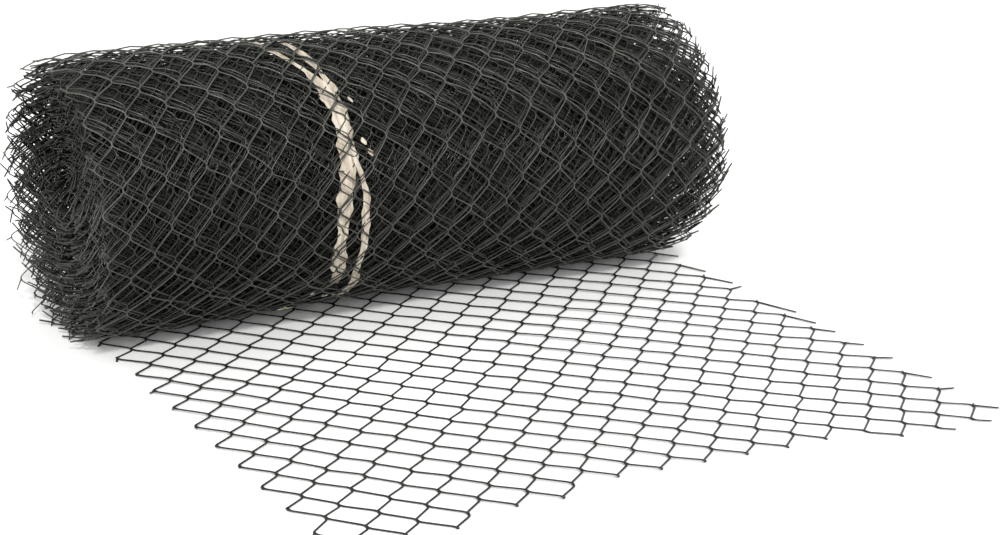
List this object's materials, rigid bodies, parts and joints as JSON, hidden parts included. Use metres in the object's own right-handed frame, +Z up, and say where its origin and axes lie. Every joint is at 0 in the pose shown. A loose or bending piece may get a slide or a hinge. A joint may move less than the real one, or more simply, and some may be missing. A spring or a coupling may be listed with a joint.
{
  "type": "roll of plastic poultry netting",
  "caption": "Black diamond-mesh plastic netting wound on itself without a core, its loose end lying flat in front of the roll, with a pale tie band wound in under the outermost turn.",
  "frame": {"origin": "middle of the flat spot on which the roll rests, on the floor under the roll's axis", "axes": "X along the roll, -Y the way the loose end points, +Z up"},
  "size_m": [0.5504, 0.4871, 0.2009],
  "materials": {
    "netting": "extruded black polyethylene strands with a soft grey sheen",
    "band": "thin crumpled cream film, slightly see-through"
  },
  "bodies": {
    "root": {"net_roll": "netting", "loose_end": "netting", "tie_band": "band"}
  },
  "joints": []
}
